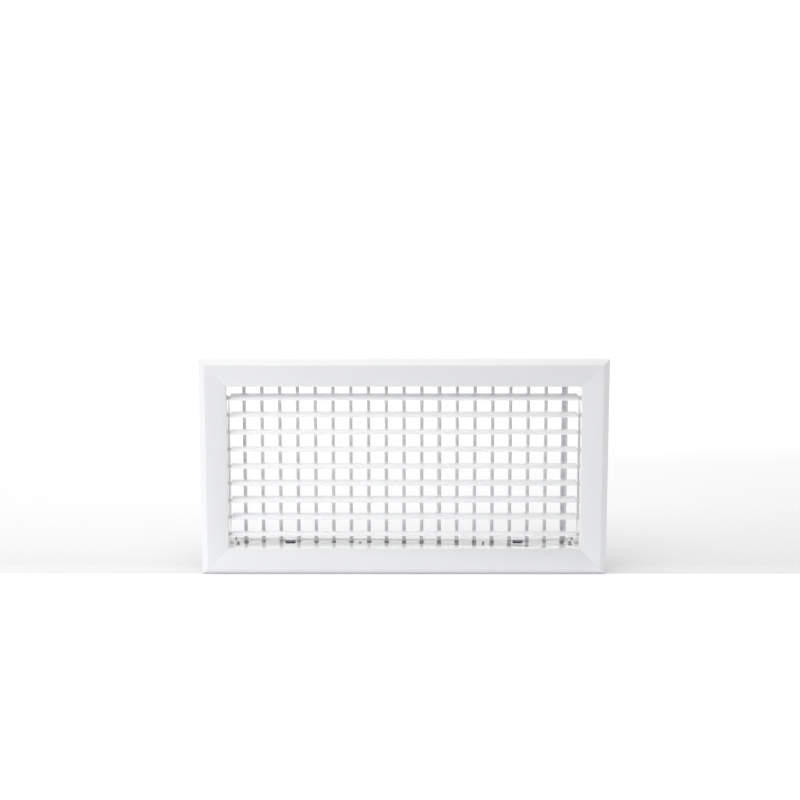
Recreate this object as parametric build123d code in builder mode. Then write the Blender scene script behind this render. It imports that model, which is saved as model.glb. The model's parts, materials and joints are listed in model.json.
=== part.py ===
from build123d import *
import os

os.makedirs("parts", exist_ok=True)

# Double-deflection air grille for a 400 x 200 mm wall opening, in millimetres.
# X runs to the right as seen from the room, Y into the wall and Z up. The origin is the centre of
# the opening in the plane of the wall, so the border lies in front of Y = 0 and the neck behind it.

# Airway and border
opening_width = 380.0
opening_height = 180.0
border_width = 30.0
border_depth = 8.0
extrusion_wall = 1.5
bevel_width = 6.5
bevel_depth = 4.5
inner_round = 1.4
sheet = 1.2
lip_height = 4.0
lip_bend = 1.0

# Channel on the back of the border, for the corner keys, and the foam stuck across it
channel_start = 9.0
channel_depth = 3.0
channel_lip = 2.0
channel_to_leg = 4.5
rib = 1.0
key_clearance = 0.2
key_thickness = 2.7
key_leg = 32.0
foam_joint = 0.3

# Blades: chord and thickness of the aerofoil, and how far its pivot is behind the nose. The sides
# close in to the tail this many times as steeply there as a straight taper would.
blade_chord = 16.5
pivot_back = 4.5
tail_thickness = 1.0
tail_steepness = 1.5
front_thickness = 5.0
rear_thickness = 4.0
front_end_gap = 3.5
end_play = 0.6

# Front bank: horizontal blades, from the top down, each with the tilt it is set to at rest
front_pivot_y = 0.5
front_margin = 14.0
front_tilts = [10.0, 4.0, 0.0, -1.0, 0.0, 2.0, 5.0, 4.0, -6.0]

# Rear bank: vertical blades, numbered from the left, set straight except for two
rear_count = 19
rear_margin = 16.75
rear_turns = {12: 10.0, 19: -26.0}
bank_gap = 2.5
rear_clearance = 2.5

# Pins and bushes
pin_radius = 1.2
pin_clearance = 0.05
pin_seat = 10.0
seat_clearance = 0.02
pin_shoulder_radius = 1.7
bush_radius = 2.0
bush_flange_radius = 2.6
bush_flange = 1.0
bush_tail = 0.8
bush_to_leg = 1.5

# Spring clips: a strip hooked over the back edge of a slot, and folded forward to its crest
slot_width = 12.5
slot_length = 12.0
clip_width = 11.5
clip_thickness = 0.6
clip_clearance = 0.05
clip_lip = 4.4
clip_upturn = 0.5
clip_arm = 7.0
clip_fold = 2.4
clip_crest = 11.2
clip_crest_ahead = 3.0
clip_toe = 4.5
clip_toe_ahead = 11.0
clip_bends = [0.9, 0.45, 0.45, 1.1, 1.1, 3.0]

# Rivets, and the angles that hold the corners of the neck
rivet_radius = 1.2
rivet_head_radius = 2.5
rivet_head_height = 1.0
rivet_head_round = 0.8
rivet_tail_radius = 1.5
rivet_tail_height = 2.0
rivet_tail_round = 0.9
rivet_from_leg_end = 2.6
angle_leg = 12.0
angle_width = 8.0
angle_rivet = 5.0
angle_to_lip = 0.8

# Clip slots and rivets lie midway between two rear blades: their distance from the middle, in pitches
slot_pitches = 6.5
rivet_pitches = (-2.5, 4.5)

# Places that follow from those sizes
half_width = opening_width / 2
half_height = opening_height / 2
outer_x = half_width + border_width
outer_z = half_height + border_width
face_y = -border_depth
plate_back = face_y + extrusion_wall
channel_back = plate_back + channel_depth
foam_front = channel_back + rib
channel_inset = channel_start + rib
channel_width = border_width - sheet - extrusion_wall - channel_to_leg - rib - channel_inset
tail_reach = blade_chord - pivot_back
rear_pivot_y = front_pivot_y + tail_reach + bank_gap + pivot_back
neck_end = rear_pivot_y + tail_reach + rear_clearance
leg_end = rear_pivot_y - bush_radius - bush_to_leg
rivet_y = leg_end - rivet_from_leg_end
slot_back = leg_end + slot_length / 2
angle_y = neck_end - sheet - angle_to_lip - angle_width / 2
frame_grip = sheet + extrusion_wall

front_count = len(front_tilts)
front_pitch = (opening_height - 2 * front_margin) / (front_count - 1)
rear_pitch = (opening_width - 2 * rear_margin) / (rear_count - 1)
front_z = [half_height - front_margin - i * front_pitch for i in range(front_count)]
rear_x = [rear_margin - half_width + i * rear_pitch for i in range(rear_count)]
rear_tilts = [rear_turns.get(i + 1, 0.0) for i in range(rear_count)]

slot_x = slot_pitches * rear_pitch
end_rivet_x = half_width - rear_margin / 2
rivet_x = [-end_rivet_x, *[n * rear_pitch for n in rivet_pitches], end_rivet_x]
blade_stand_off = bush_flange + end_play

# The four inner faces of the airway. On each plane y runs into the wall and z points outwards.
sides = {
    "top": Plane(origin=(0, 0, half_height), x_dir=(1, 0, 0), z_dir=(0, 0, 1)),
    "bottom": Plane(origin=(0, 0, -half_height), x_dir=(-1, 0, 0), z_dir=(0, 0, -1)),
    "left": Plane(origin=(-half_width, 0, 0), x_dir=(0, 0, 1), z_dir=(-1, 0, 0)),
    "right": Plane(origin=(half_width, 0, 0), x_dir=(0, 0, -1), z_dir=(1, 0, 0)),
}
long_sides = ("top", "bottom")
half_lengths = {"top": half_width, "bottom": half_width, "left": half_height, "right": half_height}
frame_rivets_at = {"top": rivet_x, "bottom": [-x for x in rivet_x]}


def save(piece, label):
    """Name a finished piece and write it as its own file."""
    piece.part.label = label
    export_step(piece.part, f"parts/{label}.step")


# ---------------------------------------------------------------- what passes through the neck
with BuildSketch() as front_bush_holes:
    with Locations(*[(z, front_pivot_y) for z in front_z]):
        Circle(bush_radius)

with BuildSketch() as rear_bush_holes:
    with Locations(*[(x, rear_pivot_y) for x in rear_x]):
        Circle(bush_radius)

with BuildSketch() as clip_slots:
    with Locations((-slot_x, leg_end), (slot_x, leg_end)):
        Rectangle(slot_width, slot_length)


def neck_holes(name):
    """The bush holes, clip slots and rivet holes of one neck wall, as one flat pattern."""
    with BuildSketch() as pattern:
        if name in long_sides:
            add(rear_bush_holes.sketch)
            add(clip_slots.sketch)
            with Locations(*[(s, rivet_y) for s in frame_rivets_at[name]]):
                Circle(rivet_radius)
        else:
            add(front_bush_holes.sketch)
        corner_rivet_at = half_lengths[name] - angle_rivet
        with Locations((-corner_rivet_at, angle_y), (corner_rivet_at, angle_y)):
            Circle(rivet_radius)
    return pattern.sketch


# ---------------------------------------------------------------- border
# One extrusion cut to four mitred lengths. Its section is drawn with x running from the outer edge
# to the opening and y running back: bevelled face plate with a rounded inner edge, rim to the wall,
# leg into the wall.
leg_inside = border_width - sheet
leg_outside = leg_inside - extrusion_wall
bevel_offset = extrusion_wall / 3

with BuildSketch() as border_section:
    with BuildLine():
        Polyline(
            (0, 0),
            (0, face_y + bevel_depth),
            (bevel_width, face_y),
            (border_width, face_y),
            (border_width, plate_back),
            (leg_inside, plate_back),
            (leg_inside, leg_end),
            (leg_outside, leg_end),
            (leg_outside, plate_back),
            (bevel_width + bevel_offset, plate_back),
            (extrusion_wall, plate_back + bevel_depth - bevel_offset),
            (extrusion_wall, 0),
            close=True,
        )
    make_face()
    fillet(border_section.vertices().sort_by_distance((border_width, face_y))[0], inner_round)
    for rib_start, lip_start in (
        (channel_start, channel_start),
        (channel_inset + channel_width, channel_inset + channel_width - channel_lip),
    ):
        with Locations((rib_start, plate_back)):
            Rectangle(rib, channel_depth + rib, align=Align.MIN)
        with Locations((lip_start, channel_back)):
            Rectangle(rib + channel_lip, rib, align=Align.MIN)

for name, inner_face in sides.items():
    outward = inner_face.z_dir
    along = inner_face.x_dir
    half_length = half_lengths[name] + border_width
    outer_edge = inner_face.origin + outward * border_width
    with BuildPart() as frame:
        with BuildSketch(Plane(origin=outer_edge, x_dir=-outward, z_dir=Vector(0, 1, 0).cross(outward))):
            add(border_section.sketch)
        extrude(amount=half_length, both=True)
        for end in (-1, 1):
            corner = outer_edge + along * (end * half_length)
            split(bisect_by=Plane(origin=corner, z_dir=outward - along * end), keep=Keep.TOP)
        with BuildSketch(inner_face):
            add(neck_holes(name))
        extrude(amount=frame_grip + channel_to_leg / 2, mode=Mode.SUBTRACT)
    save(frame, f"frame_{name}")

# ---------------------------------------------------------------- neck
# Four sheet walls behind the face plate, inside the leg, each with a lip bent out at its back edge.
# The long walls lap over the ends of the short ones.
for name, inner_face in sides.items():
    length = 2 * (half_lengths[name] + (sheet if name in long_sides else 0))
    run = Axis.X if name in long_sides else Axis.Z
    with BuildPart() as core:
        with BuildSketch(inner_face):
            with Locations((0, plate_back)):
                Rectangle(length, neck_end - plate_back, align=(Align.CENTER, Align.MIN))
        extrude(amount=sheet)
        with BuildSketch(inner_face):
            with Locations((0, neck_end)):
                Rectangle(length, sheet, align=(Align.CENTER, Align.MAX))
        extrude(amount=sheet + lip_height)
        back_edges = core.edges().filter_by(run).group_by(Axis.Y)[-1]
        fillet(back_edges.sort_by_distance((0, neck_end, 0))[0], lip_bend)
        with BuildSketch(inner_face):
            add(neck_holes(name))
        extrude(amount=sheet, mode=Mode.SUBTRACT)
    save(core, f"core_{name}")

# ---------------------------------------------------------------- corners
# A flat L-shaped key sits in the channels at each mitre, and an angle outside each neck corner.
key_width = channel_width - 2 * key_clearance
key_x = outer_x - channel_inset - key_clearance
key_z = outer_z - channel_inset - key_clearance
with BuildPart() as corner_keys:
    with BuildSketch(Plane.XZ.offset(key_clearance - channel_back)):
        with Locations((key_x, key_z)):
            Rectangle(key_leg, key_width, align=Align.MAX)
            Rectangle(key_width, key_leg, align=Align.MAX)
    extrude(amount=key_thickness)
    mirror(about=Plane.YZ)
    mirror(about=Plane.XY)
save(corner_keys, "corner_keys")

angle_corner = (half_width + 2 * sheet, half_height + 2 * sheet)
with BuildPart() as corner_angles:
    with BuildSketch(Plane.XZ.offset(-angle_y)):
        with Locations(angle_corner):
            Rectangle(angle_leg, sheet, align=Align.MAX)
            Rectangle(sheet, angle_leg, align=Align.MAX)
    extrude(amount=angle_width / 2, both=True)
    for name, inner_face in sides.items():
        with BuildSketch(inner_face):
            add(neck_holes(name))
        extrude(amount=3 * sheet, mode=Mode.SUBTRACT)
    mirror(about=Plane.YZ)
    mirror(about=Plane.XY)
save(corner_angles, "corner_angles")


# ---------------------------------------------------------------- rivets
def rivet(grip):
    """A blind rivet standing on z = 0: domed head outside the grip, formed tail in the airway."""
    with BuildPart() as body:
        Cylinder(rivet_radius, grip, align=(Align.CENTER, Align.CENTER, Align.MIN))
        Cylinder(rivet_tail_radius, rivet_tail_height, align=(Align.CENTER, Align.CENTER, Align.MAX))
        with Locations((0, 0, grip)):
            Cylinder(rivet_head_radius, rivet_head_height, align=(Align.CENTER, Align.CENTER, Align.MIN))
        fillet(body.edges().sort_by(Axis.Z)[-1], rivet_head_round)
        fillet(body.edges().sort_by(Axis.Z)[0], rivet_tail_round)
    return body.part


frame_rivet = rivet(frame_grip)
frame_rivet_places = [
    inner_face.location * Pos(s, rivet_y, 0)
    for name, inner_face in sides.items()
    if name in long_sides
    for s in frame_rivets_at[name]
]
with BuildPart() as frame_rivets:
    with Locations(*frame_rivet_places):
        add(frame_rivet)
save(frame_rivets, "frame_rivets")

corner_rivet = rivet(2 * sheet)
corner_rivet_places = [
    inner_face.location * Pos(end * (half_lengths[name] - angle_rivet), angle_y, 0)
    for name, inner_face in sides.items()
    for end in (-1, 1)
]
with BuildPart() as corner_rivets:
    with Locations(*corner_rivet_places):
        add(corner_rivet)
save(corner_rivets, "corner_rivets")

# ---------------------------------------------------------------- foam
# Four strips of closed-cell foam across the channel, butted at the corners, flush with the rim.
foam_x = outer_x - channel_inset
foam_z = outer_z - channel_inset
with BuildPart() as gasket:
    with BuildSketch(Plane.XZ):
        with Locations((0, foam_z)):
            Rectangle(2 * foam_x, channel_width, align=(Align.CENTER, Align.MAX))
        with Locations((0, -foam_z)):
            Rectangle(2 * foam_x, channel_width, align=(Align.CENTER, Align.MIN))
        with Locations((channel_width / 2 - foam_x, 0), (foam_x - channel_width / 2, 0)):
            Rectangle(channel_width, 2 * (foam_z - channel_width - foam_joint))
    extrude(amount=-foam_front)
save(gasket, "gasket")


# ---------------------------------------------------------------- blades
def blade_section(thickness):
    """Teardrop about the pivot: rounded nose at -x, straight-sided taper to a thin round tail."""
    tail_radius = tail_thickness / 2
    tail_x = tail_reach - tail_radius
    fall = tail_steepness * (thickness / 2 - tail_radius)
    with BuildSketch() as section:
        with BuildLine():
            EllipticalCenterArc((0, 0), pivot_back, thickness / 2, start_angle=90, arc_size=180)
            Spline((0, thickness / 2), (tail_x, tail_radius), tangents=[(1, 0), (tail_x, -fall)])
            ThreePointArc((tail_x, tail_radius), (tail_reach, 0), (tail_x, -tail_radius))
            Spline((tail_x, -tail_radius), (0, -thickness / 2), tangents=[(-tail_x, -fall), (-1, 0)])
        make_face()
    return section.sketch


front_section = blade_section(front_thickness)
half_front_blade = half_width - front_end_gap
for number, (z, tilt) in enumerate(zip(front_z, front_tilts), start=1):
    pivot = Plane(origin=(0, front_pivot_y, z), x_dir=(0, 1, 0), z_dir=(1, 0, 0))
    with BuildPart() as front_blade:
        with BuildSketch(pivot):
            add(front_section, rotation=tilt)
            Circle(pin_radius + seat_clearance, mode=Mode.SUBTRACT)
        extrude(amount=half_front_blade, both=True)
    save(front_blade, f"front_blade_{number}")

    with BuildPart() as front_pins:
        for end in (-1, 1):
            with BuildSketch(pivot.offset(end * (half_front_blade - pin_seat))):
                Circle(pin_radius)
            extrude(amount=end * (pin_seat + front_end_gap + frame_grip + bush_tail))
            with BuildSketch(pivot.offset(end * half_front_blade)):
                Circle(pin_shoulder_radius)
            extrude(amount=end * (front_end_gap - blade_stand_off))
    save(front_pins, f"front_pins_{number}")

rear_section = blade_section(rear_thickness)
half_rear_blade = half_height - blade_stand_off
for number, (x, turn) in enumerate(zip(rear_x, rear_tilts), start=1):
    pivot = Plane(origin=(x, rear_pivot_y, 0), x_dir=(0, 1, 0), z_dir=(0, 0, 1))
    with BuildPart() as rear_blade:
        with BuildSketch(pivot):
            add(rear_section, rotation=turn)
        extrude(amount=half_rear_blade, both=True)
        with BuildSketch(pivot):
            Circle(pin_radius)
        extrude(amount=half_height + sheet + bush_tail, both=True)
    save(rear_blade, f"rear_blade_{number:02d}")

# ---------------------------------------------------------------- bushes
# A flanged nylon bush for each pin, pushed into the neck wall from the airway. The flange, or the
# shoulder of a front pin, keeps the end of the blade off the wall.
bush_sets = {
    "front_bushes_left": ("left", front_bush_holes, [(z, front_pivot_y) for z in front_z], frame_grip),
    "front_bushes_right": ("right", front_bush_holes, [(z, front_pivot_y) for z in front_z], frame_grip),
    "rear_bushes_top": ("top", rear_bush_holes, [(x, rear_pivot_y) for x in rear_x], sheet),
    "rear_bushes_bottom": ("bottom", rear_bush_holes, [(x, rear_pivot_y) for x in rear_x], sheet),
}
for label, (name, barrels, spots, grip) in bush_sets.items():
    with BuildPart() as bushes:
        with BuildSketch(sides[name]):
            with Locations(*spots):
                Circle(bush_flange_radius)
        extrude(amount=-bush_flange)
        with BuildSketch(sides[name]):
            add(barrels.sketch)
        extrude(amount=grip + bush_tail)
        with BuildSketch(sides[name]):
            with Locations(*spots):
                Circle(pin_radius + pin_clearance)
        extrude(amount=bush_flange + grip + bush_tail, both=True, mode=Mode.SUBTRACT)
    save(bushes, label)

# ---------------------------------------------------------------- spring clips
# A strip of spring steel grips the sheet behind its slot and presses on the edge of the wall
# opening with its crest. Its path is drawn with x running back and y running outwards.
grip_offset = clip_clearance + clip_thickness / 2
clip_places = {
    "spring_clip_top_left": ("top", -slot_x),
    "spring_clip_top_right": ("top", slot_x),
    "spring_clip_bottom_left": ("bottom", slot_x),
    "spring_clip_bottom_right": ("bottom", -slot_x),
}
for label, (name, s) in clip_places.items():
    outward = sides[name].z_dir
    side_view = Plane(
        origin=sides[name].origin + sides[name].x_dir * s,
        x_dir=(0, 1, 0),
        z_dir=Vector(0, 1, 0).cross(outward),
    )
    with BuildPart() as spring_clip:
        with BuildLine(side_view) as strip:
            FilletPolyline(
                (slot_back + clip_lip, -grip_offset - clip_upturn),
                (slot_back + clip_lip - clip_upturn, -grip_offset),
                (slot_back - grip_offset, -grip_offset),
                (slot_back - grip_offset, sheet + grip_offset),
                (slot_back + clip_arm, sheet + grip_offset),
                (slot_back + clip_arm, sheet + grip_offset + clip_fold),
                (leg_end - clip_crest_ahead, clip_crest),
                (leg_end - clip_toe_ahead, clip_toe),
                radius=clip_bends,
            )
        start = Plane(origin=strip.line @ 0, x_dir=side_view.z_dir, z_dir=strip.line % 0)
        with BuildSketch(start):
            Rectangle(clip_width, clip_thickness)
        sweep(path=strip.line)
    save(spring_clip, label)
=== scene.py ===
import json
import math

import bmesh
import bpy
from mathutils import Matrix, Vector


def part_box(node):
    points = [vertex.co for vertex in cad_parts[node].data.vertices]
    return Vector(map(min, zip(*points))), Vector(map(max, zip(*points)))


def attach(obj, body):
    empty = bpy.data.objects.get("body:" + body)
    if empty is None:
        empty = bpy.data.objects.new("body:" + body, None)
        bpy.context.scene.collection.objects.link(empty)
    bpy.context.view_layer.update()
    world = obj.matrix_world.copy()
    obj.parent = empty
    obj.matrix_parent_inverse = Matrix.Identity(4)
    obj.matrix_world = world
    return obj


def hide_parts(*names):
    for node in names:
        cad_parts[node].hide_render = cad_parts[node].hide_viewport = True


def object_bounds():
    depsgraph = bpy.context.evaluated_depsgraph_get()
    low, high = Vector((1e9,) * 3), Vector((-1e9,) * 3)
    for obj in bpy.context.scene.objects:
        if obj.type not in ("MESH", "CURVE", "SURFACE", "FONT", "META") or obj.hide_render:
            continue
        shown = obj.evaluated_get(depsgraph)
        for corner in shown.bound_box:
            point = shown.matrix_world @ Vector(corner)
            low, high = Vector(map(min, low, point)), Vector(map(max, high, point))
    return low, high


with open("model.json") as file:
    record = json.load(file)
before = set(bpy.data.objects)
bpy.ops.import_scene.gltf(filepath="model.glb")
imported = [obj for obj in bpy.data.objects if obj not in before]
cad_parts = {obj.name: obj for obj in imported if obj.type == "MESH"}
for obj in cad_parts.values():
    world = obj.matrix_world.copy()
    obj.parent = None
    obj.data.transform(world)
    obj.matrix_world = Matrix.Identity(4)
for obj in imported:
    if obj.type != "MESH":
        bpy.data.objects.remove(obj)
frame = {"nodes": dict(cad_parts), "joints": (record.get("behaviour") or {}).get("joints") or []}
cad_low, cad_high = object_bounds()

MM = 0.001
scene = bpy.context.scene
scene.view_settings.view_transform = "Standard"


# ---------------------------------------------------------------- studio
# The grille stands on its lower rim on a white table. The room is brightest behind it, a big soft
# panel lights it from overhead, and two weak panels stand on the left.
floor_z = cad_low.z


def build_floor():
    shape = bmesh.new()
    bmesh.ops.create_grid(shape, x_segments=1, y_segments=1, size=6)
    bmesh.ops.translate(shape, verts=shape.verts, vec=(0, 0, floor_z))
    mesh = bpy.data.meshes.new("table")
    shape.to_mesh(mesh)
    shape.free()
    table = bpy.data.objects.new("table", mesh)
    scene.collection.objects.link(table)

    paper = bpy.data.materials.new("white table")
    paper.use_nodes = True
    nodes, links = paper.node_tree.nodes, paper.node_tree.links
    shader = nodes["Principled BSDF"]
    shader.inputs["Roughness"].default_value = 0.6
    place = nodes.new("ShaderNodeTexCoord")
    axes = nodes.new("ShaderNodeSeparateXYZ")
    links.new(place.outputs["Object"], axes.inputs["Vector"])

    def shade_along_depth(start, end, shades):
        depth = nodes.new("ShaderNodeMapRange")
        depth.inputs["From Min"].default_value = start
        depth.inputs["From Max"].default_value = end
        links.new(axes.outputs["Y"], depth.inputs["Value"])
        ramp = nodes.new("ShaderNodeValToRGB")
        stops = ramp.color_ramp.elements
        while len(stops) < len(shades):
            stops.new(0.5)
        for stop, (at, grey) in zip(stops, shades):
            stop.position = (at - start) / (end - start)
            stop.color = (grey, grey, grey * 1.012, 1)
        links.new(depth.outputs["Result"], ramp.inputs["Fac"])
        return ramp.outputs["Color"]

    # Painted shade: the paper's colour darkens from just in front of the grille's lower rim to just behind
    # it, and pales again further back.
    painted_shade_band = [
        (-0.05, 0.92),
        (-0.02, 0.86),
        (-0.005, 0.71),
        (0.03, 0.645),
        (0.11, 0.69),
        (0.26, 0.75),
        (0.46, 0.79),
        (0.65, 0.92),
    ]
    links.new(shade_along_depth(-0.05, 0.65, painted_shade_band), shader.inputs["Base Color"])
    # Painted light: the paper glows, most just in front of the grille and far behind it, and its glow drops
    # sharply under the lower rim to paint a dark contact line there.
    painted_glow = [
        (-0.50, 0.15),
        (-0.12, 0.20),
        (-0.010, 0.45),
        (-0.0065, 0.05),
        (0.012, 0.12),
        (0.50, 0.17),
        (1.2, 0.36),
    ]
    links.new(shade_along_depth(-0.70, 1.2, painted_glow), shader.inputs["Emission Color"])
    shader.inputs["Emission Strength"].default_value = 1.0
    table.data.materials.append(paper)


def light_panel(name, place, aim, width, height, power):
    panel = bpy.data.lights.new(name, "AREA")
    panel.shape = "RECTANGLE"
    panel.size = width
    panel.size_y = height
    panel.energy = power
    lamp = bpy.data.objects.new(name, panel)
    lamp.location = place
    lamp.rotation_euler = (Vector(aim) - Vector(place)).to_track_quat("-Z", "Y").to_euler()
    scene.collection.objects.link(lamp)


def build_light():
    world = bpy.data.worlds.new("studio")
    scene.world = world
    world.use_nodes = True
    nodes, links = world.node_tree.nodes, world.node_tree.links
    place = nodes.new("ShaderNodeTexCoord")
    towards = nodes.new("ShaderNodeVectorMath")
    towards.operation = "DOT_PRODUCT"
    towards.inputs[1].default_value = (-0.37, 0.93, 0)
    links.new(place.outputs["Generated"], towards.inputs[0])
    across = nodes.new("ShaderNodeMapRange")
    across.interpolation_type = "SMOOTHSTEP"
    across.inputs["From Min"].default_value = -0.8
    across.inputs["From Max"].default_value = 0.7
    across.inputs["To Min"].default_value = 0.22
    across.inputs["To Max"].default_value = 1.05
    links.new(towards.outputs["Value"], across.inputs["Value"])
    links.new(across.outputs["Result"], nodes["Background"].inputs["Strength"])
    nodes["Background"].inputs["Color"].default_value = (1.0, 1.0, 1.0, 1)
    light_panel("key panel", (-1.15, -0.65, 1.4), (0, 0, 0), 1.6, 1.2, 2.5)
    light_panel("side panel", (-1.0, -0.40, 0.35), (0, 0, 0), 0.6, 0.6, 1.6)
    light_panel("overhead panel", (-0.1, -0.45, 1.6), (0, 0, 0), 1.5, 1.5, 15.5)


build_floor()
build_light()

# The camera looks a little down at the middle of the grille, from straight in front.
camera_distance = 2.2
camera_height_angle = math.radians(15.5)
camera_pitch = math.radians(11.532)
picture_width = 867 * MM
sensor = 36.0

lens = bpy.data.cameras.new("camera")
lens.sensor_width = sensor
lens.lens = sensor * camera_distance / picture_width
lens.shift_y = -0.093
lens.clip_start = 0.05
camera = bpy.data.objects.new("camera", lens)
camera.location = (
    -0.0044,
    -camera_distance * math.cos(camera_height_angle),
    camera_distance * math.sin(camera_height_angle),
)
camera.rotation_euler = (math.pi / 2 - camera_pitch, 0, 0)
scene.collection.objects.link(camera)
scene.camera = camera


# ---------------------------------------------------------------- border and neck
# Four mitred lengths of aluminium extrusion and four folded sheet walls behind them, all powder
# coated white. The corners of the border are slightly rounded by its coat.
def powder_coat(name, colour, grain_axis, roughness=0.26):
    """White powder coat: fine orange peel, a faint drawn grain under it, light handling marks."""
    coat = bpy.data.materials.new(name)
    coat.use_nodes = True
    nodes, links = coat.node_tree.nodes, coat.node_tree.links
    shader = nodes["Principled BSDF"]
    place = nodes.new("ShaderNodeTexCoord")

    drawn = nodes.new("ShaderNodeMapping")
    drawn.inputs["Scale"].default_value = (0.02, 1, 1) if grain_axis == "X" else (1, 1, 0.02)
    links.new(place.outputs["Object"], drawn.inputs["Vector"])

    peel = nodes.new("ShaderNodeTexNoise")
    peel.inputs["Scale"].default_value = 1500
    peel.inputs["Detail"].default_value = 2
    links.new(place.outputs["Object"], peel.inputs["Vector"])
    lines = nodes.new("ShaderNodeTexNoise")
    lines.inputs["Scale"].default_value = 1800
    lines.inputs["Detail"].default_value = 1
    links.new(drawn.outputs["Vector"], lines.inputs["Vector"])
    both = nodes.new("ShaderNodeMix")
    both.data_type = "FLOAT"
    both.inputs["Factor"].default_value = 0.03
    links.new(peel.outputs["Fac"], both.inputs["A"])
    links.new(lines.outputs["Fac"], both.inputs["B"])
    bump = nodes.new("ShaderNodeBump")
    bump.inputs["Strength"].default_value = 0.09
    bump.inputs["Distance"].default_value = 0.04 * MM
    links.new(both.outputs["Result"], bump.inputs["Height"])
    links.new(bump.outputs["Normal"], shader.inputs["Normal"])

    patches = nodes.new("ShaderNodeTexNoise")
    patches.inputs["Scale"].default_value = 14
    patches.inputs["Detail"].default_value = 5
    patches.inputs["Roughness"].default_value = 0.6
    links.new(place.outputs["Object"], patches.inputs["Vector"])
    tint = nodes.new("ShaderNodeValToRGB")
    low, high = tint.color_ramp.elements
    low.position, high.position = 0.30, 0.72
    low.color = (*[c * 0.997 for c in colour], 1)
    high.color = (*colour, 1)
    links.new(patches.outputs["Fac"], tint.inputs["Fac"])

    specks = nodes.new("ShaderNodeTexVoronoi")
    specks.inputs["Scale"].default_value = 170
    links.new(place.outputs["Object"], specks.inputs["Vector"])
    dust = nodes.new("ShaderNodeMapRange")
    dust.inputs["From Min"].default_value = 0.035
    dust.inputs["From Max"].default_value = 0.060
    dust.inputs["To Min"].default_value = 0.03
    dust.inputs["To Max"].default_value = 0.0
    links.new(specks.outputs["Distance"], dust.inputs["Value"])
    dusty = nodes.new("ShaderNodeMix")
    dusty.data_type = "RGBA"
    links.new(dust.outputs["Result"], dusty.inputs["Factor"])
    links.new(tint.outputs["Color"], dusty.inputs["A"])
    dusty.inputs["B"].default_value = (0.45, 0.44, 0.42, 1)
    links.new(dusty.outputs["Result"], shader.inputs["Base Color"])

    gloss = nodes.new("ShaderNodeMapRange")
    gloss.inputs["From Min"].default_value = 0.3
    gloss.inputs["From Max"].default_value = 0.7
    gloss.inputs["To Min"].default_value = roughness + 0.01
    gloss.inputs["To Max"].default_value = roughness - 0.01
    links.new(patches.outputs["Fac"], gloss.inputs["Value"])
    links.new(gloss.outputs["Result"], shader.inputs["Roughness"])
    return coat


paint_white = (0.84, 0.845, 0.85)
border_coat_along = powder_coat("border coat, long sides", paint_white, "X")
border_coat_up = powder_coat("border coat, short sides", paint_white, "Z")
neck_white = (0.88, 0.883, 0.89)
neck_coat_along = powder_coat("neck coat, long walls", neck_white, "X", roughness=0.16)
neck_coat_up = powder_coat("neck coat, short walls", neck_white, "Z", roughness=0.16)
for coat in (neck_coat_along, neck_coat_up):
    shader = coat.node_tree.nodes["Principled BSDF"]
    shader.inputs["Coat Weight"].default_value = 1.0
    shader.inputs["Coat Roughness"].default_value = 0.08


def metalwork(node, name, coat, rounding):
    """The made metal part itself, merged to one skin, with its sharp corners rounded if asked."""
    shape = bmesh.new()
    shape.from_mesh(frame["nodes"][node].data)
    bmesh.ops.remove_doubles(shape, verts=shape.verts, dist=0.002 * MM)
    if rounding:
        bmesh.ops.dissolve_limit(
            shape, angle_limit=math.radians(0.5), verts=shape.verts, edges=shape.edges
        )
        bmesh.ops.triangulate(shape, faces=shape.faces)
    for face in shape.faces:
        face.smooth = True
    mesh = bpy.data.meshes.new(name)
    shape.to_mesh(mesh)
    shape.free()
    mesh.set_sharp_from_angle(angle=math.radians(32))
    part = bpy.data.objects.new(name, mesh)
    scene.collection.objects.link(part)
    mesh.materials.append(coat)
    if rounding:
        edges = part.modifiers.new("rounded corners", "BEVEL")
        edges.width = rounding
        edges.segments = 2
        edges.limit_method = "ANGLE"
        edges.angle_limit = math.radians(32)
        edges.harden_normals = True
        edges.miter_outer = "MITER_ARC"
    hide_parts(node)
    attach(part, "housing")


for side in ("top", "bottom"):
    metalwork(f"frame_{side}", f"border_{side}", border_coat_along, 0.18 * MM)
    metalwork(f"core_{side}", f"neck_{side}", neck_coat_along, 0)
for side in ("left", "right"):
    metalwork(f"frame_{side}", f"border_{side}", border_coat_up, 0.18 * MM)
    metalwork(f"core_{side}", f"neck_{side}", neck_coat_up, 0)


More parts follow.
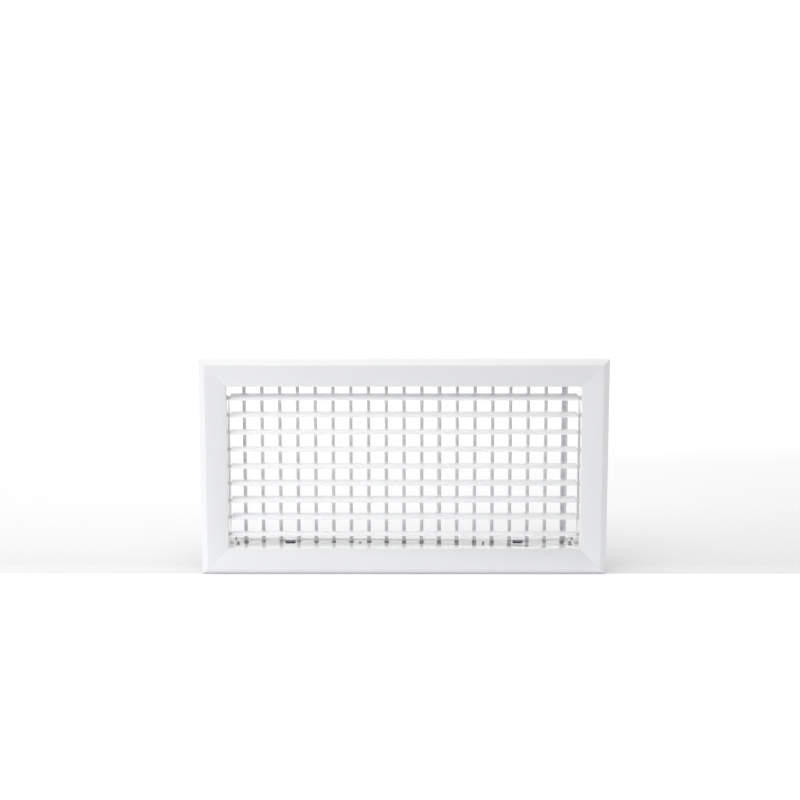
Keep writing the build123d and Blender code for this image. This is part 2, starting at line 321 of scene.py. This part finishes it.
# ---------------------------------------------------------------- corner keys and angles
# Die-cast keys pressed into the channels of the border hold its mitres, and zinc plated steel
# angles outside the neck, each with two blind rivets, hold the corners of the sheet walls.
def bare_metal(name, colour, roughness, grain_scale, unevenness):
    """Unpainted metal with a crystalline or tumbled surface."""
    metal = bpy.data.materials.new(name)
    metal.use_nodes = True
    nodes, links = metal.node_tree.nodes, metal.node_tree.links
    shader = nodes["Principled BSDF"]
    shader.inputs["Metallic"].default_value = 1.0
    place = nodes.new("ShaderNodeTexCoord")
    grains = nodes.new("ShaderNodeTexVoronoi")
    grains.inputs["Scale"].default_value = grain_scale
    links.new(place.outputs["Object"], grains.inputs["Vector"])
    clouds = nodes.new("ShaderNodeTexNoise")
    clouds.inputs["Scale"].default_value = grain_scale / 3
    clouds.inputs["Detail"].default_value = 6
    links.new(place.outputs["Object"], clouds.inputs["Vector"])
    tint = nodes.new("ShaderNodeValToRGB")
    low, high = tint.color_ramp.elements
    low.position, high.position = 0.30, 0.70
    low.color = (*[c * (1 - unevenness) for c in colour], 1)
    high.color = (*colour, 1)
    links.new(clouds.outputs["Fac"], tint.inputs["Fac"])
    spangle = nodes.new("ShaderNodeMix")
    spangle.data_type = "RGBA"
    spangle.blend_type = "SOFT_LIGHT"
    spangle.inputs["Factor"].default_value = unevenness
    links.new(tint.outputs["Color"], spangle.inputs["A"])
    links.new(grains.outputs["Color"], spangle.inputs["B"])
    links.new(spangle.outputs["Result"], shader.inputs["Base Color"])
    dulled = nodes.new("ShaderNodeMapRange")
    dulled.inputs["To Min"].default_value = roughness + 0.10
    dulled.inputs["To Max"].default_value = roughness - 0.08
    links.new(clouds.outputs["Fac"], dulled.inputs["Value"])
    links.new(dulled.outputs["Result"], shader.inputs["Roughness"])
    bump = nodes.new("ShaderNodeBump")
    bump.inputs["Strength"].default_value = 0.25
    bump.inputs["Distance"].default_value = 0.03 * MM
    links.new(clouds.outputs["Fac"], bump.inputs["Height"])
    links.new(bump.outputs["Normal"], shader.inputs["Normal"])
    return metal


cast_metal = bare_metal("die-cast key", (0.62, 0.62, 0.63), 0.50, 900, 0.25)
zinc_plate = bare_metal("zinc plated steel", (0.70, 0.71, 0.73), 0.38, 400, 0.20)
metalwork("corner_keys", "corner_keys", cast_metal, 0.25 * MM)
metalwork("corner_angles", "corner_angles", zinc_plate, 0.15 * MM)


# ---------------------------------------------------------------- rivets
# Aluminium blind rivets: a domed head outside with the snapped stem in its middle, and a bulbed
# tail in the airway. Eight fix the neck in the border, and eight fix the corner angles.
def fitting(shape, name, material, body, stands_for=(), crease=35):
    """Turns a modelled shape into a named piece of the grille that moves with its body."""
    for face in shape.faces:
        face.smooth = True
    mesh = bpy.data.meshes.new(name)
    shape.to_mesh(mesh)
    shape.free()
    mesh.set_sharp_from_angle(angle=math.radians(crease))
    mesh.materials.append(material)
    part = bpy.data.objects.new(name, mesh)
    scene.collection.objects.link(part)
    if stands_for:
        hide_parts(*stands_for)
    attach(part, body)
    return part


def turned(outline, steps=24):
    """A shape turned about the Z axis from an outline of (radius, height) in millimetres."""
    shape = bmesh.new()
    rim = [shape.verts.new((radius * MM, 0, height * MM)) for radius, height in outline]
    line = [shape.edges.new(pair) for pair in zip(rim, rim[1:])]
    bmesh.ops.spin(
        shape,
        geom=rim + line,
        cent=(0, 0, 0),
        axis=(0, 0, 1),
        dvec=(0, 0, 0),
        angle=2 * math.pi,
        steps=steps,
        use_merge=True,
        use_duplicate=False,
    )
    bmesh.ops.remove_doubles(shape, verts=shape.verts, dist=0.001 * MM)
    bmesh.ops.recalc_face_normals(shape, faces=shape.faces)
    return shape


def stamped(pattern, places):
    """The same shape set down at each of several places."""
    shape = bmesh.new()
    mesh = bpy.data.meshes.new("pattern")
    pattern.to_mesh(mesh)
    pattern.free()
    for place in places:
        copy = mesh.copy()
        copy.transform(place)
        shape.from_mesh(copy)
        bpy.data.meshes.remove(copy)
    bpy.data.meshes.remove(mesh)
    return shape


# Each wall of the neck: its inner face's place, with Z out of the airway and Y into the room wall.
half_width = -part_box("core_left")[1].x
half_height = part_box("core_top")[0].z
walls = {
    "top": Matrix.Translation((0, 0, half_height)),
    "left": Matrix.Translation((-half_width, 0, 0)) @ Matrix.Rotation(-math.pi / 2, 4, "Y"),
    "bottom": Matrix.Translation((0, 0, -half_height)) @ Matrix.Rotation(math.pi, 4, "Y"),
    "right": Matrix.Translation((half_width, 0, 0)) @ Matrix.Rotation(math.pi / 2, 4, "Y"),
}
rear_pitch = 19.25 * MM
wall_sheet = 1.2
frame_grip = 2.7
corner_grip = 2 * wall_sheet
rivet_depth = 13.4 * MM
corner_rivet_depth = 28 * MM
end_rivet = half_width - 8.375 * MM
rivet_places = {
    "top": [-end_rivet, -2.5 * rear_pitch, 4.5 * rear_pitch, end_rivet],
    "bottom": [end_rivet, 2.5 * rear_pitch, -4.5 * rear_pitch, -end_rivet],
}
corner_rivet_in = 5 * MM
corner_reach = {"top": half_width, "bottom": half_width, "left": half_height, "right": half_height}


def blind_rivet(grip):
    return turned(
        [
            (0, -2.0),
            (0.9, -2.0),
            (1.32, -1.75),
            (1.5, -1.2),
            (1.46, -0.5),
            (1.36, 0),
            (1.2, 0),
            (1.2, grip),
            (2.42, grip),
            (2.5, grip + 0.12),
            (2.34, grip + 0.40),
            (1.9, grip + 0.70),
            (1.3, grip + 0.92),
            (0.75, grip + 1.0),
            (0.62, grip + 0.92),
            (0.60, grip + 0.55),
            (0.52, grip + 0.50),
            (0.30, grip + 0.62),
            (0, grip + 0.58),
        ]
    )


rivet_metal = bare_metal("rivet aluminium", (0.86, 0.86, 0.86), 0.36, 1500, 0.10)
fitting(
    stamped(
        blind_rivet(frame_grip),
        [
            walls[side] @ Matrix.Translation((across, rivet_depth, 0))
            for side, row in rivet_places.items()
            for across in row
        ],
    ),
    "frame_rivets",
    rivet_metal,
    "housing",
    ["frame_rivets"],
)
fitting(
    stamped(
        blind_rivet(corner_grip),
        [
            wall @ Matrix.Translation((end * (corner_reach[side] - corner_rivet_in), corner_rivet_depth, 0))
            for side, wall in walls.items()
            for end in (-1, 1)
        ],
    ),
    "corner_rivets",
    rivet_metal,
    "housing",
    ["corner_rivets"],
)


# ---------------------------------------------------------------- foam gasket
# Four strips of self-adhesive closed-cell foam, stuck across the channel on the back of the
# border, which seal it to the wall. They are butted at the corners and swell a little.
def foam(name):
    """Dark closed-cell foam: round cells of uneven size, with a dry, slightly dusty skin."""
    rubber = bpy.data.materials.new(name)
    rubber.use_nodes = True
    nodes, links = rubber.node_tree.nodes, rubber.node_tree.links
    shader = nodes["Principled BSDF"]
    shader.inputs["Roughness"].default_value = 0.92
    shader.inputs["Specular IOR Level"].default_value = 0.25
    place = nodes.new("ShaderNodeTexCoord")
    cells = nodes.new("ShaderNodeTexVoronoi")
    cells.feature = "SMOOTH_F1"
    cells.inputs["Scale"].default_value = 1400
    links.new(place.outputs["Object"], cells.inputs["Vector"])
    dusting = nodes.new("ShaderNodeTexNoise")
    dusting.inputs["Scale"].default_value = 60
    dusting.inputs["Detail"].default_value = 6
    links.new(place.outputs["Object"], dusting.inputs["Vector"])
    tint = nodes.new("ShaderNodeValToRGB")
    low, high = tint.color_ramp.elements
    low.position, high.position = 0.05, 0.60
    low.color, high.color = (0.035, 0.036, 0.038, 1), (0.095, 0.097, 0.10, 1)
    links.new(cells.outputs["Distance"], tint.inputs["Fac"])
    dusted = nodes.new("ShaderNodeMix")
    dusted.data_type = "RGBA"
    dusted.inputs["B"].default_value = (0.16, 0.16, 0.155, 1)
    amount = nodes.new("ShaderNodeMapRange")
    amount.inputs["From Min"].default_value = 0.45
    amount.inputs["From Max"].default_value = 0.75
    amount.inputs["To Max"].default_value = 0.5
    links.new(dusting.outputs["Fac"], amount.inputs["Value"])
    links.new(amount.outputs["Result"], dusted.inputs["Factor"])
    links.new(tint.outputs["Color"], dusted.inputs["A"])
    links.new(dusted.outputs["Result"], shader.inputs["Base Color"])
    bump = nodes.new("ShaderNodeBump")
    bump.inputs["Strength"].default_value = 0.7
    bump.inputs["Distance"].default_value = 0.2 * MM
    links.new(cells.outputs["Distance"], bump.inputs["Height"])
    links.new(bump.outputs["Normal"], shader.inputs["Normal"])
    return rubber


foam_low, foam_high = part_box("gasket")
strip_width = 11.8 * MM
strip_joint = 0.3 * MM
side_strip_top = foam_high.z - strip_width - strip_joint
foam_black = foam("closed-cell foam")


def foam_strip(name, low, high):
    """A strip with soft long edges and a skin that rises and falls a little along its length."""
    shape = bmesh.new()
    bmesh.ops.create_cube(shape, size=1)
    size, middle = high - low, (high + low) / 2
    bmesh.ops.scale(shape, verts=shape.verts, vec=size)
    bmesh.ops.translate(shape, verts=shape.verts, vec=middle)
    bmesh.ops.bevel(
        shape,
        geom=shape.edges[:],
        offset=0.5 * MM,
        affect="EDGES",
        segments=3,
        profile=0.5,
        material=-1,
        clamp_overlap=True,
    )
    long_way = 0 if size.x > size.z else 2
    long_edges = [
        edge
        for edge in shape.edges
        if abs(edge.verts[0].co[long_way] - edge.verts[1].co[long_way]) > size[long_way] / 2
    ]
    bmesh.ops.subdivide_edges(shape, edges=long_edges, cuts=60, use_grid_fill=True)
    skin = 0.10 * MM
    for vertex in shape.verts:
        run = vertex.co[long_way] * 1000
        wave = 0.5 + 0.3 * math.sin(run * 0.31) + 0.2 * math.sin(run * 0.83 + 1.0)
        away = (vertex.co - middle) / max(size.y, strip_width)
        vertex.co.y -= math.copysign(skin * wave * min(1, abs(away.y) * 4), away.y)
    strip = fitting(shape, name, foam_black, "housing", ["gasket"], crease=60)


foam_strip("gasket_top", Vector((foam_low.x, foam_low.y, foam_high.z - strip_width)), foam_high)
foam_strip("gasket_bottom", foam_low, Vector((foam_high.x, foam_high.y, foam_low.z + strip_width)))
foam_strip(
    "gasket_left",
    Vector((foam_low.x, foam_low.y, -side_strip_top)),
    Vector((foam_low.x + strip_width, foam_high.y, side_strip_top)),
)
foam_strip(
    "gasket_right",
    Vector((foam_high.x - strip_width, foam_low.y, -side_strip_top)),
    Vector((foam_high.x, foam_high.y, side_strip_top)),
)


# ---------------------------------------------------------------- front blades
# Nine aerofoil blades of extruded aluminium, powder coated, each with a pin pressed in its bored
# nose at both ends. A blade turns by itself and stays where it is set. The pins are nylon.
tail_reach = 12.0
nose_reach = 4.5
tail_radius = 0.5
tail_steepness = 1.5
front_end_gap = 3.5
stand_off = 1.6
pin_radius = 1.2
shoulder_radius = 1.7
pin_ease = 0.25
pin_seat = 10
bush_tail = 0.8
front_coat = powder_coat("front blade coat", (0.93, 0.933, 0.94), "X")


def nylon(name, colour):
    """Moulded nylon: slightly translucent, with a faint satin texture from the mould."""
    plastic = bpy.data.materials.new(name)
    plastic.use_nodes = True
    nodes, links = plastic.node_tree.nodes, plastic.node_tree.links
    shader = nodes["Principled BSDF"]
    shader.inputs["Subsurface Weight"].default_value = 0.15
    shader.inputs["Subsurface Radius"].default_value = (0.001, 0.0009, 0.0008)
    shader.inputs["Subsurface Scale"].default_value = 0.6
    place = nodes.new("ShaderNodeTexCoord")
    satin = nodes.new("ShaderNodeTexNoise")
    satin.inputs["Scale"].default_value = 2500
    satin.inputs["Detail"].default_value = 3
    links.new(place.outputs["Object"], satin.inputs["Vector"])
    flow = nodes.new("ShaderNodeTexNoise")
    flow.inputs["Scale"].default_value = 220
    flow.inputs["Distortion"].default_value = 0.8
    links.new(place.outputs["Object"], flow.inputs["Vector"])
    tint = nodes.new("ShaderNodeValToRGB")
    low, high = tint.color_ramp.elements
    low.position, high.position = 0.35, 0.65
    low.color, high.color = (*[c * 0.94 for c in colour], 1), (*colour, 1)
    links.new(flow.outputs["Fac"], tint.inputs["Fac"])
    links.new(tint.outputs["Color"], shader.inputs["Base Color"])
    worn = nodes.new("ShaderNodeMapRange")
    worn.inputs["To Min"].default_value = 0.50
    worn.inputs["To Max"].default_value = 0.36
    links.new(flow.outputs["Fac"], worn.inputs["Value"])
    links.new(worn.outputs["Result"], shader.inputs["Roughness"])
    bump = nodes.new("ShaderNodeBump")
    bump.inputs["Strength"].default_value = 0.15
    bump.inputs["Distance"].default_value = 0.02 * MM
    links.new(satin.outputs["Fac"], bump.inputs["Height"])
    links.new(bump.outputs["Normal"], shader.inputs["Normal"])
    return plastic


pin_nylon = nylon("pin nylon", (0.76, 0.76, 0.74))


def aerofoil(angle, thickness):
    """Where a point at this angle round the blade lies: a round nose, then a taper to the tail."""
    half = thickness / 2
    round_tail = math.radians(18)
    up = 1 if math.sin(angle) >= 0 else -1
    lift = math.acos(max(-1.0, min(1.0, math.cos(angle))))
    if lift >= math.pi / 2:
        return nose_reach * math.cos(lift), up * half * math.sin(lift)
    if lift <= round_tail:
        curl = lift / round_tail * math.pi / 2
        return tail_reach - tail_radius + tail_radius * math.cos(curl), up * tail_radius * math.sin(curl)
    back = (math.pi / 2 - lift) / (math.pi / 2 - round_tail)
    taper = (half - tail_radius) * back**tail_steepness
    return back * (tail_reach - tail_radius), up * (half - taper)


def extruded_blade(thickness, half_length):
    """An aerofoil along Z with its pivot on the Z axis, its nose at -X and its ends eased."""
    shape = bmesh.new()
    bmesh.ops.create_circle(shape, cap_ends=True, segments=80, radius=1)
    for vertex in shape.verts:
        x, y = aerofoil(math.atan2(vertex.co.y, vertex.co.x), thickness)
        vertex.co = (x * MM, y * MM, -half_length)
    grown = bmesh.ops.extrude_face_region(shape, geom=shape.faces[:])["geom"]
    top = [part for part in grown if isinstance(part, bmesh.types.BMVert)]
    bmesh.ops.translate(shape, verts=top, vec=(0, 0, 2 * half_length))
    bmesh.ops.recalc_face_normals(shape, faces=shape.faces)
    rims = [edge for edge in shape.edges if abs(edge.verts[0].co.z - edge.verts[1].co.z) < half_length]
    bmesh.ops.bevel(
        shape, geom=rims, offset=0.2 * MM, affect="EDGES", segments=2, profile=0.5, material=-1
    )
    return shape


def shouldered_pin(inner, shoulder, outer):
    """A round pin along Z, with a thicker shoulder that keeps the blade's end off its bush."""
    step = shoulder + front_end_gap - stand_off
    step_ease = 0.1
    return turned(
        [
            (0, inner),
            (pin_radius, inner),
            (pin_radius, shoulder),
            (shoulder_radius, shoulder),
            (shoulder_radius, step - step_ease),
            (shoulder_radius - step_ease, step),
            (pin_radius, step),
            (pin_radius, outer - pin_ease),
            (pin_radius - pin_ease, outer),
            (0, outer),
        ]
    )


across_blade = Matrix(((0, 0, 1, 0), (1, 0, 0, 0), (0, 1, 0, 0), (0, 0, 0, 1)))
upright_blade = Matrix(((0, -1, 0, 0), (1, 0, 0, 0), (0, 0, 1, 0), (0, 0, 0, 1)))
front_half_length = half_width - front_end_gap * MM
joints = {joint["child"]: joint for joint in frame["joints"]}


def set_angle(joint):
    """A blade turns 45 degrees either way from square to the wall, so its travel gives its angle."""
    return -math.radians(sum(joint["range_deg"]) / 2)


pin_tip = half_width / MM + frame_grip + bush_tail
blade_end = front_half_length / MM
for number in range(1, 10):
    body = f"front_louvre_{number}"
    joint = joints[body]
    place = Matrix.Translation(joint["pos_m"]) @ Matrix.Rotation(set_angle(joint), 4, "X") @ across_blade
    blade = extruded_blade(5.0, front_half_length)
    bmesh.ops.transform(blade, matrix=place, verts=blade.verts)
    fitting(blade, f"front_blade_{number}", front_coat, body, [f"front_blade_{number}"])
    ends = [place, place @ Matrix.Rotation(math.pi, 4, "X")]
    pins = stamped(shouldered_pin(blade_end - pin_seat, blade_end, pin_tip), ends)
    fitting(pins, f"front_pins_{number}", pin_nylon, body, [f"front_pins_{number}"])


# ---------------------------------------------------------------- rear blades
# Nineteen slimmer blades of the same make stand behind the front ones, with their pins turned
# down from the blade's own ends.
rear_coat = powder_coat("rear blade coat", (0.90, 0.904, 0.91), "Z", roughness=0.28)
rear_half_length = half_height - stand_off * MM
stub_root = rear_half_length / MM - 0.5
stub_tip = half_height / MM + wall_sheet + bush_tail
stub_outline = [
    (0, stub_root),
    (pin_radius, stub_root),
    (pin_radius, stub_tip - pin_ease),
    (pin_radius - pin_ease, stub_tip),
    (0, stub_tip),
]
for number in range(1, 20):
    body = f"rear_louvre_{number:02d}"
    joint = joints[body]
    place = Matrix.Translation(joint["pos_m"]) @ Matrix.Rotation(set_angle(joint), 4, "Z") @ upright_blade
    blade = extruded_blade(4.0, rear_half_length)
    for end in (Matrix.Identity(4), Matrix.Rotation(math.pi, 4, "X")):
        stub = stamped(turned(stub_outline), [end])
        mesh = bpy.data.meshes.new("stub")
        stub.to_mesh(mesh)
        stub.free()
        blade.from_mesh(mesh)
        bpy.data.meshes.remove(mesh)
    bmesh.ops.transform(blade, matrix=place, verts=blade.verts)
    fitting(
        blade, f"rear_blade_{number:02d}", rear_coat, body, [f"rear_blade_{number:02d}"]
    )


# ---------------------------------------------------------------- bushes
# White nylon bushes pushed into the walls from the airway, one for every pin. A thin flange keeps
# the blade off the wall, and the barrel goes through the wall.
def bush(grip):
    """A flange 1 mm thick in the airway, and a barrel through the metal it is pushed into."""
    collar, barrel, bore, stand = 2.6, 2.0, 1.25, 1.0
    far = grip + bush_tail
    return turned(
        [
            (bore, -stand + 0.15),
            (bore + 0.15, -stand),
            (collar - 0.35, -stand),
            (collar - 0.10, -stand + 0.10),
            (collar, -stand + 0.30),
            (collar, -0.10),
            (collar - 0.10, 0),
            (barrel, 0),
            (barrel, far - 0.25),
            (barrel - 0.25, far),
            (bore, far),
            (bore, -stand + 0.15),
        ],
        steps=28,
    )


white_nylon = nylon("white nylon", (0.80, 0.80, 0.78))
front_pivots = [joints[f"front_louvre_{n}"]["pos_m"] for n in range(1, 10)]
rear_pivots = [joints[f"rear_louvre_{n:02d}"]["pos_m"] for n in range(1, 20)]
bush_rows = {
    "front_bushes_left": ("left", [(p[2], p[1], 0) for p in front_pivots], frame_grip),
    "front_bushes_right": ("right", [(-p[2], p[1], 0) for p in front_pivots], frame_grip),
    "rear_bushes_top": ("top", [(p[0], p[1], 0) for p in rear_pivots], wall_sheet),
    "rear_bushes_bottom": ("bottom", [(-p[0], p[1], 0) for p in rear_pivots], wall_sheet),
}
for name, (side, spots, grip) in bush_rows.items():
    row = stamped(bush(grip), [walls[side] @ Matrix.Translation(spot) for spot in spots])
    fitting(row, name, white_nylon, "housing", [name])


# ---------------------------------------------------------------- spring clips
# Four strips of zinc plated spring steel hooked over the back edge of the slots in the long walls. Each
# is folded forward outside the neck to a crest that grips the edge of the wall opening.
def bent_strip(path, bends, width):
    """A flat strip along a path of straight runs in the XY plane, with a round bend at each corner."""
    shape = bmesh.new()
    sides = [shape.verts.new((*path[0], z)) for z in (-width / 2, width / 2)]
    edge = shape.edges.new(sides)
    here = Vector(path[0])

    def run_to(point):
        grown = bmesh.ops.extrude_edge_only(shape, edges=[edge])["geom"]
        ends = [part for part in grown if isinstance(part, bmesh.types.BMVert)]
        bmesh.ops.translate(shape, verts=ends, vec=(*(point - here), 0))
        edges = [part for part in grown if isinstance(part, bmesh.types.BMEdge)]
        return next(part for part in edges if set(part.verts) == set(ends))

    for corner, after, bend in zip(path[1:-1], path[2:], bends):
        corner, after = Vector(corner), Vector(after)
        ahead = (corner - here).normalized()
        turn = -ahead.angle_signed((after - corner).normalized())
        start = corner - ahead * bend * math.tan(abs(turn) / 2)
        edge = run_to(start)
        centre = start + ahead.orthogonal() * math.copysign(bend, turn)
        spun = bmesh.ops.spin(
            shape,
            geom=[edge, *edge.verts],
            cent=(*centre, 0),
            axis=(0, 0, 1),
            angle=turn,
            steps=8,
            use_merge=False,
            use_duplicate=False,
        )["geom_last"]
        edge = next(part for part in spun if isinstance(part, bmesh.types.BMEdge))
        here = (edge.verts[0].co.xy + edge.verts[1].co.xy) / 2
    run_to(Vector(path[-1]))
    bmesh.ops.recalc_face_normals(shape, faces=shape.faces)
    return shape


strip_thickness = 0.6 * MM
clip_width = 11.5 * MM
hook = 0.35
slot_front, slot_end = 10.0, 22.0
leg_end = (slot_front + slot_end) / 2
clip_path = [
    (slot_end + 4.4, -hook - 0.5),
    (slot_end + 3.9, -hook),
    (slot_end - hook, -hook),
    (slot_end - hook, wall_sheet + hook),
    (slot_end + 7, wall_sheet + hook),
    (slot_end + 7, wall_sheet + hook + 2.4),
    (leg_end - 3, 11.2),
    (leg_end - 11, 4.5),
]
clip_bends = [0.9, 0.45, 0.45, 1.1, 1.1, 3.0]
clip_along = 6.5 * rear_pitch
spring_steel = bare_metal("spring steel", (0.80, 0.805, 0.82), 0.30, 700, 0.12)
clip_side_view = Matrix(((0, 0, -1, 0), (1, 0, 0, 0), (0, 1, 0, 0), (0, 0, 0, 1)))
clip_places = {
    "spring_clip_top_left": ("top", -clip_along),
    "spring_clip_top_right": ("top", clip_along),
    "spring_clip_bottom_left": ("bottom", clip_along),
    "spring_clip_bottom_right": ("bottom", -clip_along),
}
for name, (side, along) in clip_places.items():
    strip = bent_strip([(x * MM, y * MM) for x, y in clip_path], [r * MM for r in clip_bends], clip_width)
    place = walls[side] @ Matrix.Translation((along, 0, 0)) @ clip_side_view
    bmesh.ops.transform(strip, matrix=place, verts=strip.verts)
    clip = fitting(strip, name, spring_steel, "housing", [name])
    sheet = clip.modifiers.new("strip thickness", "SOLIDIFY")
    sheet.thickness = strip_thickness
    sheet.offset = 0
    sheet.use_even_offset = True
    eased = clip.modifiers.new("eased edges", "BEVEL")
    eased.width = 0.1 * MM
    eased.segments = 2
    eased.limit_method = "ANGLE"
    eased.angle_limit = math.radians(40)
    eased.harden_normals = True

bpy.context.view_layer.update()
